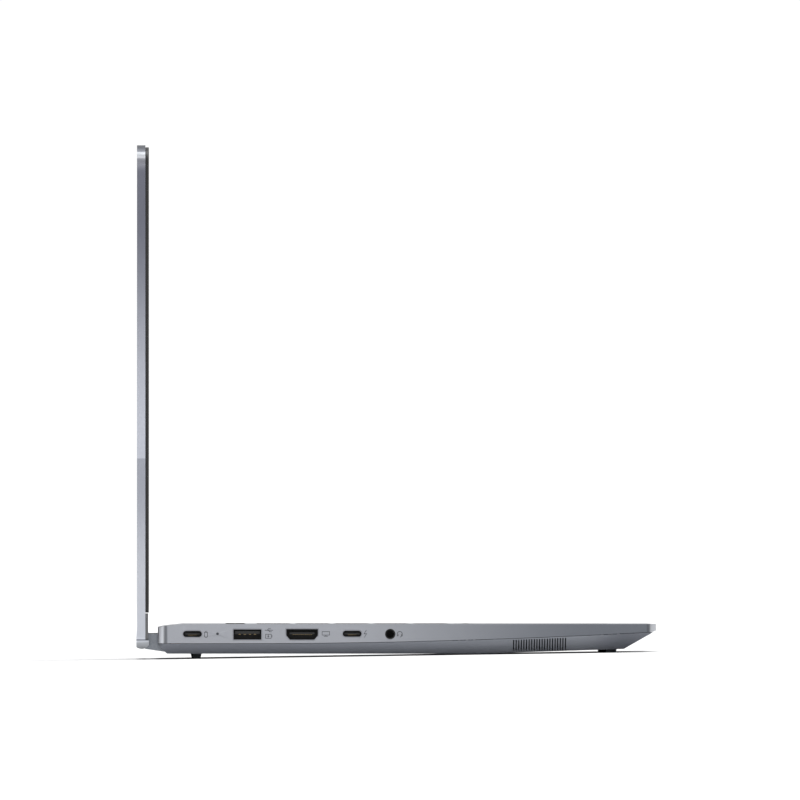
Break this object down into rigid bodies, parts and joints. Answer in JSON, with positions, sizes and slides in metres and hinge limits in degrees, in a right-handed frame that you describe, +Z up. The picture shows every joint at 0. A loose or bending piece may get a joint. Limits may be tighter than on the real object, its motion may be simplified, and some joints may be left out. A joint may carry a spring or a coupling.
{
  "type": "laptop computer",
  "caption": "Two-in-one laptop open at a right angle, with a screen lid on double-pivot hinge links, a keyboard, touchpad and side sockets.",
  "frame": {"origin": "on the desk under the middle of the laptop's bounding box", "axes": "+X to the user's right, +Y from the user towards the hinge, +Z up"},
  "size_m": [0.313, 0.2344, 0.2319],
  "materials": {
    "case_metal": "satin anodised, silver grey",
    "belly_metal": "satin, darker grey",
    "lid_metal": "satin anodised, two tones of silver grey",
    "screw_steel": "blackened",
    "foot_rubber": "dark slate, matt",
    "tray_plastic": "black, matt",
    "board_laminate": "dark green laminate",
    "battery_wrap": "black film",
    "fan_plastic": "black, satin",
    "copper": "bare copper",
    "speaker_plastic": "black",
    "port_steel": "nickel plated",
    "jack_plastic": "black",
    "light_lens": "clear, diffusing",
    "bracket_steel": "zinc plated",
    "touch_glass": "etched, satin grey",
    "button_plastic": "dark grey, satin",
    "power_metal": "satin anodised",
    "key_plastic": "charcoal, fine matt",
    "link_metal": "blue grey, satin",
    "shaft_steel": "ground steel",
    "rim_rubber": "black, satin",
    "screen_glass": "black behind clear glass, gloss",
    "panel_plastic": "dark display face",
    "strip_plastic": "grey, satin",
    "camera_plastic": "black",
    "antenna_foil": "thin foil"
  },
  "bodies": {
    "base": {"top_case": "case_metal", "bottom_cover": "belly_metal", "bottom_screws": "screw_steel", "rear_foot": "foot_rubber", "front_foot": "foot_rubber", "keyboard_plate": "tray_plastic", "motherboard": "board_laminate", "battery": "battery_wrap", "fan_housing": "fan_plastic", "heat_pipe": "copper", "heat_sink": "copper", "ssd_card": "board_laminate", "left_speaker": "speaker_plastic", "right_speaker": "speaker_plastic", "charge_port": "port_steel", "data_port": "port_steel", "left_wide_port": "port_steel", "right_wide_port": "port_steel", "video_port": "port_steel", "audio_jack": "jack_plastic", "charge_light": "light_lens", "left_base_bracket": "bracket_steel", "right_base_bracket": "bracket_steel"},
    "function_keys": {"function_keys": "key_plastic"},
    "number_keys": {"number_keys": "key_plastic"},
    "upper_letter_keys": {"upper_letter_keys": "key_plastic"},
    "home_letter_keys": {"home_letter_keys": "key_plastic"},
    "lower_letter_keys": {"lower_letter_keys": "key_plastic"},
    "modifier_keys": {"modifier_keys": "key_plastic"},
    "backspace_key": {"backspace_key": "key_plastic"},
    "tab_key": {"tab_key": "key_plastic"},
    "caps_key": {"caps_key": "key_plastic"},
    "enter_key": {"enter_key": "key_plastic"},
    "left_shift_key": {"left_shift_key": "key_plastic"},
    "right_shift_key": {"right_shift_key": "key_plastic"},
    "space_bar": {"space_bar": "key_plastic"},
    "left_arrow_key": {"left_arrow_key": "key_plastic"},
    "up_arrow_key": {"up_arrow_key": "key_plastic"},
    "down_arrow_key": {"down_arrow_key": "key_plastic"},
    "right_arrow_key": {"right_arrow_key": "key_plastic"},
    "touchpad": {"touchpad": "touch_glass"},
    "left_click_button": {"left_click_button": "button_plastic"},
    "middle_click_button": {"middle_click_button": "button_plastic"},
    "right_click_button": {"right_click_button": "button_plastic"},
    "power_button": {"power_button": "power_metal"},
    "fan_rotor": {"fan_rotor": "fan_plastic"},
    "hinge_links": {"left_hinge_link": "link_metal", "right_hinge_link": "link_metal", "hinge_shafts": "shaft_steel"},
    "lid": {"lid_cover": "lid_metal", "screen_rim": "rim_rubber", "display_glass": "screen_glass", "display_panel": "panel_plastic", "hinge_strip": "strip_plastic", "camera_module": "camera_plastic", "left_lid_bracket": "bracket_steel", "right_lid_bracket": "bracket_steel", "lid_antennas": "antenna_foil"},
    "camera_shutter": {"camera_shutter": "camera_plastic"}
  },
  "joints": [
    {"name": "function_keys_press", "type": "slide", "parent": "base", "child": "function_keys", "axis": [0, 0.0149, -0.9999], "range_m": [0, 0.0013], "stiffness_N_per_m": 7360},
    {"name": "number_keys_press", "type": "slide", "parent": "base", "child": "number_keys", "axis": [0, 0.0149, -0.9999], "range_m": [0, 0.0013], "stiffness_N_per_m": 5980},
    {"name": "upper_letter_keys_press", "type": "slide", "parent": "base", "child": "upper_letter_keys", "axis": [0, 0.0149, -0.9999], "range_m": [0, 0.0013], "stiffness_N_per_m": 5980},
    {"name": "home_letter_keys_press", "type": "slide", "parent": "base", "child": "home_letter_keys", "axis": [0, 0.0149, -0.9999], "range_m": [0, 0.0013], "stiffness_N_per_m": 5060},
    {"name": "lower_letter_keys_press", "type": "slide", "parent": "base", "child": "lower_letter_keys", "axis": [0, 0.0149, -0.9999], "range_m": [0, 0.0013], "stiffness_N_per_m": 4600},
    {"name": "modifier_keys_press", "type": "slide", "parent": "base", "child": "modifier_keys", "axis": [0, 0.0149, -0.9999], "range_m": [0, 0.0013], "stiffness_N_per_m": 3220},
    {"name": "backspace_key_press", "type": "slide", "parent": "base", "child": "backspace_key", "axis": [0, 0.0149, -0.9999], "range_m": [0, 0.0013], "stiffness_N_per_m": 460},
    {"name": "tab_key_press", "type": "slide", "parent": "base", "child": "tab_key", "axis": [0, 0.0149, -0.9999], "range_m": [0, 0.0013], "stiffness_N_per_m": 460},
    {"name": "caps_key_press", "type": "slide", "parent": "base", "child": "caps_key", "axis": [0, 0.0149, -0.9999], "range_m": [0, 0.0013], "stiffness_N_per_m": 460},
    {"name": "enter_key_press", "type": "slide", "parent": "base", "child": "enter_key", "axis": [0, 0.0149, -0.9999], "range_m": [0, 0.0013], "stiffness_N_per_m": 460},
    {"name": "left_shift_key_press", "type": "slide", "parent": "base", "child": "left_shift_key", "axis": [0, 0.0149, -0.9999], "range_m": [0, 0.0013], "stiffness_N_per_m": 460},
    {"name": "right_shift_key_press", "type": "slide", "parent": "base", "child": "right_shift_key", "axis": [0, 0.0149, -0.9999], "range_m": [0, 0.0013], "stiffness_N_per_m": 460},
    {"name": "space_bar_press", "type": "slide", "parent": "base", "child": "space_bar", "axis": [0, 0.0149, -0.9999], "range_m": [0, 0.0013], "stiffness_N_per_m": 460},
    {"name": "left_arrow_key_press", "type": "slide", "parent": "base", "child": "left_arrow_key", "axis": [0, 0.0149, -0.9999], "range_m": [0, 0.0013], "stiffness_N_per_m": 460},
    {"name": "up_arrow_key_press", "type": "slide", "parent": "base", "child": "up_arrow_key", "axis": [0, 0.0149, -0.9999], "range_m": [0, 0.0013], "stiffness_N_per_m": 460},
    {"name": "down_arrow_key_press", "type": "slide", "parent": "base", "child": "down_arrow_key", "axis": [0, 0.0149, -0.9999], "range_m": [0, 0.0013], "stiffness_N_per_m": 460},
    {"name": "right_arrow_key_press", "type": "slide", "parent": "base", "child": "right_arrow_key", "axis": [0, 0.0149, -0.9999], "range_m": [0, 0.0013], "stiffness_N_per_m": 460},
    {"name": "touchpad_press", "type": "slide", "parent": "base", "child": "touchpad", "axis": [0, 0.0149, -0.9999], "range_m": [0, 0.0003], "stiffness_N_per_m": 4000},
    {"name": "left_click_button_press", "type": "slide", "parent": "base", "child": "left_click_button", "axis": [0, 0.0149, -0.9999], "range_m": [0, 0.0005], "stiffness_N_per_m": 1500},
    {"name": "middle_click_button_press", "type": "slide", "parent": "base", "child": "middle_click_button", "axis": [0, 0.0149, -0.9999], "range_m": [0, 0.0005], "stiffness_N_per_m": 1500},
    {"name": "right_click_button_press", "type": "slide", "parent": "base", "child": "right_click_button", "axis": [0, 0.0149, -0.9999], "range_m": [0, 0.0005], "stiffness_N_per_m": 1500},
    {"name": "power_button_press", "type": "slide", "parent": "base", "child": "power_button", "axis": [-1, 0, 0], "range_m": [0, 0.0004], "stiffness_N_per_m": 4000},
    {"name": "fan_spin", "type": "hinge", "parent": "base", "child": "fan_rotor", "pos_m": [0.066, 0.06335, 0.00734], "axis": [0, -0.0149, 0.9999], "continuous": true},
    {"name": "link_turn", "type": "hinge", "parent": "base", "child": "hinge_links", "pos_m": [0, 0.10386, 0.00864], "axis": [-1, 0, 0], "range_deg": [-90, 90]},
    {"name": "lid_turn", "type": "hinge", "parent": "hinge_links", "child": "lid", "pos_m": [0, 0.11475, 0.00881], "axis": [-1, 0, 0], "range_deg": [0, 180]},
    {"name": "shutter_slide", "type": "slide", "parent": "lid", "child": "camera_shutter", "axis": [1, 0, 0], "range_m": [0, 0.003]}
  ]
}
